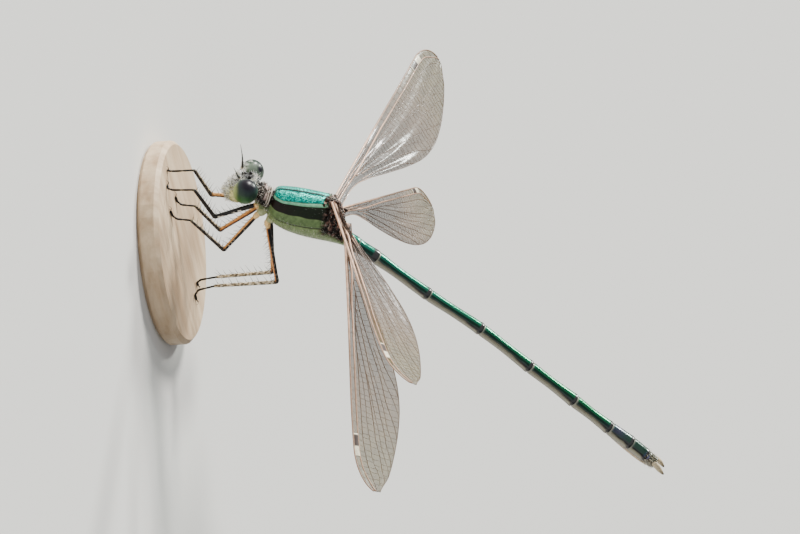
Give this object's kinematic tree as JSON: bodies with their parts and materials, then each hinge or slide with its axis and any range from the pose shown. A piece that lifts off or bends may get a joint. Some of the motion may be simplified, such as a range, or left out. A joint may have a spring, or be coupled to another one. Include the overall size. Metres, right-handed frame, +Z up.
{
  "type": "damselfly",
  "caption": "Life-size female spreadwing damselfly with wings half spread, standing head down on a small round base.",
  "frame": {"origin": "centre of the underside of the round base", "axes": "+Z up, +X the way the head points along the ground, +Y to the insect's left"},
  "size_m": [0.0331, 0.0405, 0.0336],
  "materials": {
    "head": "dusty grey-white with dark marks",
    "eye": "glossy, dark above and green below",
    "prothorax": "brownish grey, hairy",
    "thorax": "metallic blue-green bands over pale green sides",
    "wing": "clear membrane with dark veins",
    "leg": "black outside, cream inside, bristly",
    "abdomen": "metallic green with pale rings at the joints",
    "ovipositor": "pale brown",
    "stand": "matte pale grey resin"
  },
  "bodies": {
    "root": {"head": "head", "eye_left": "eye", "eye_right": "eye", "antenna_left": "leg", "antenna_right": "leg", "prothorax": "prothorax", "thorax": "thorax", "forewing_left": "wing", "hindwing_left": "wing", "forewing_right": "wing", "hindwing_right": "wing", "femur_fore_left": "leg", "tibia_fore_left": "leg", "tarsus_fore_left": "leg", "femur_fore_right": "leg", "tibia_fore_right": "leg", "tarsus_fore_right": "leg", "femur_mid_left": "leg", "tibia_mid_left": "leg", "tarsus_mid_left": "leg", "femur_mid_right": "leg", "tibia_mid_right": "leg", "tarsus_mid_right": "leg", "femur_hind_left": "leg", "tibia_hind_left": "leg", "tarsus_hind_left": "leg", "femur_hind_right": "leg", "tibia_hind_right": "leg", "tarsus_hind_right": "leg", "abdomen_s1": "abdomen", "abdomen_s2": "abdomen", "abdomen_s3": "abdomen", "abdomen_s4": "abdomen", "abdomen_s5": "abdomen", "abdomen_s6": "abdomen", "abdomen_s7": "abdomen", "abdomen_s8": "abdomen", "abdomen_s9": "abdomen", "abdomen_s10": "abdomen", "ovipositor": "ovipositor", "cercus_left": "ovipositor", "cercus_right": "ovipositor", "stand_base": "stand"}
  },
  "joints": []
}
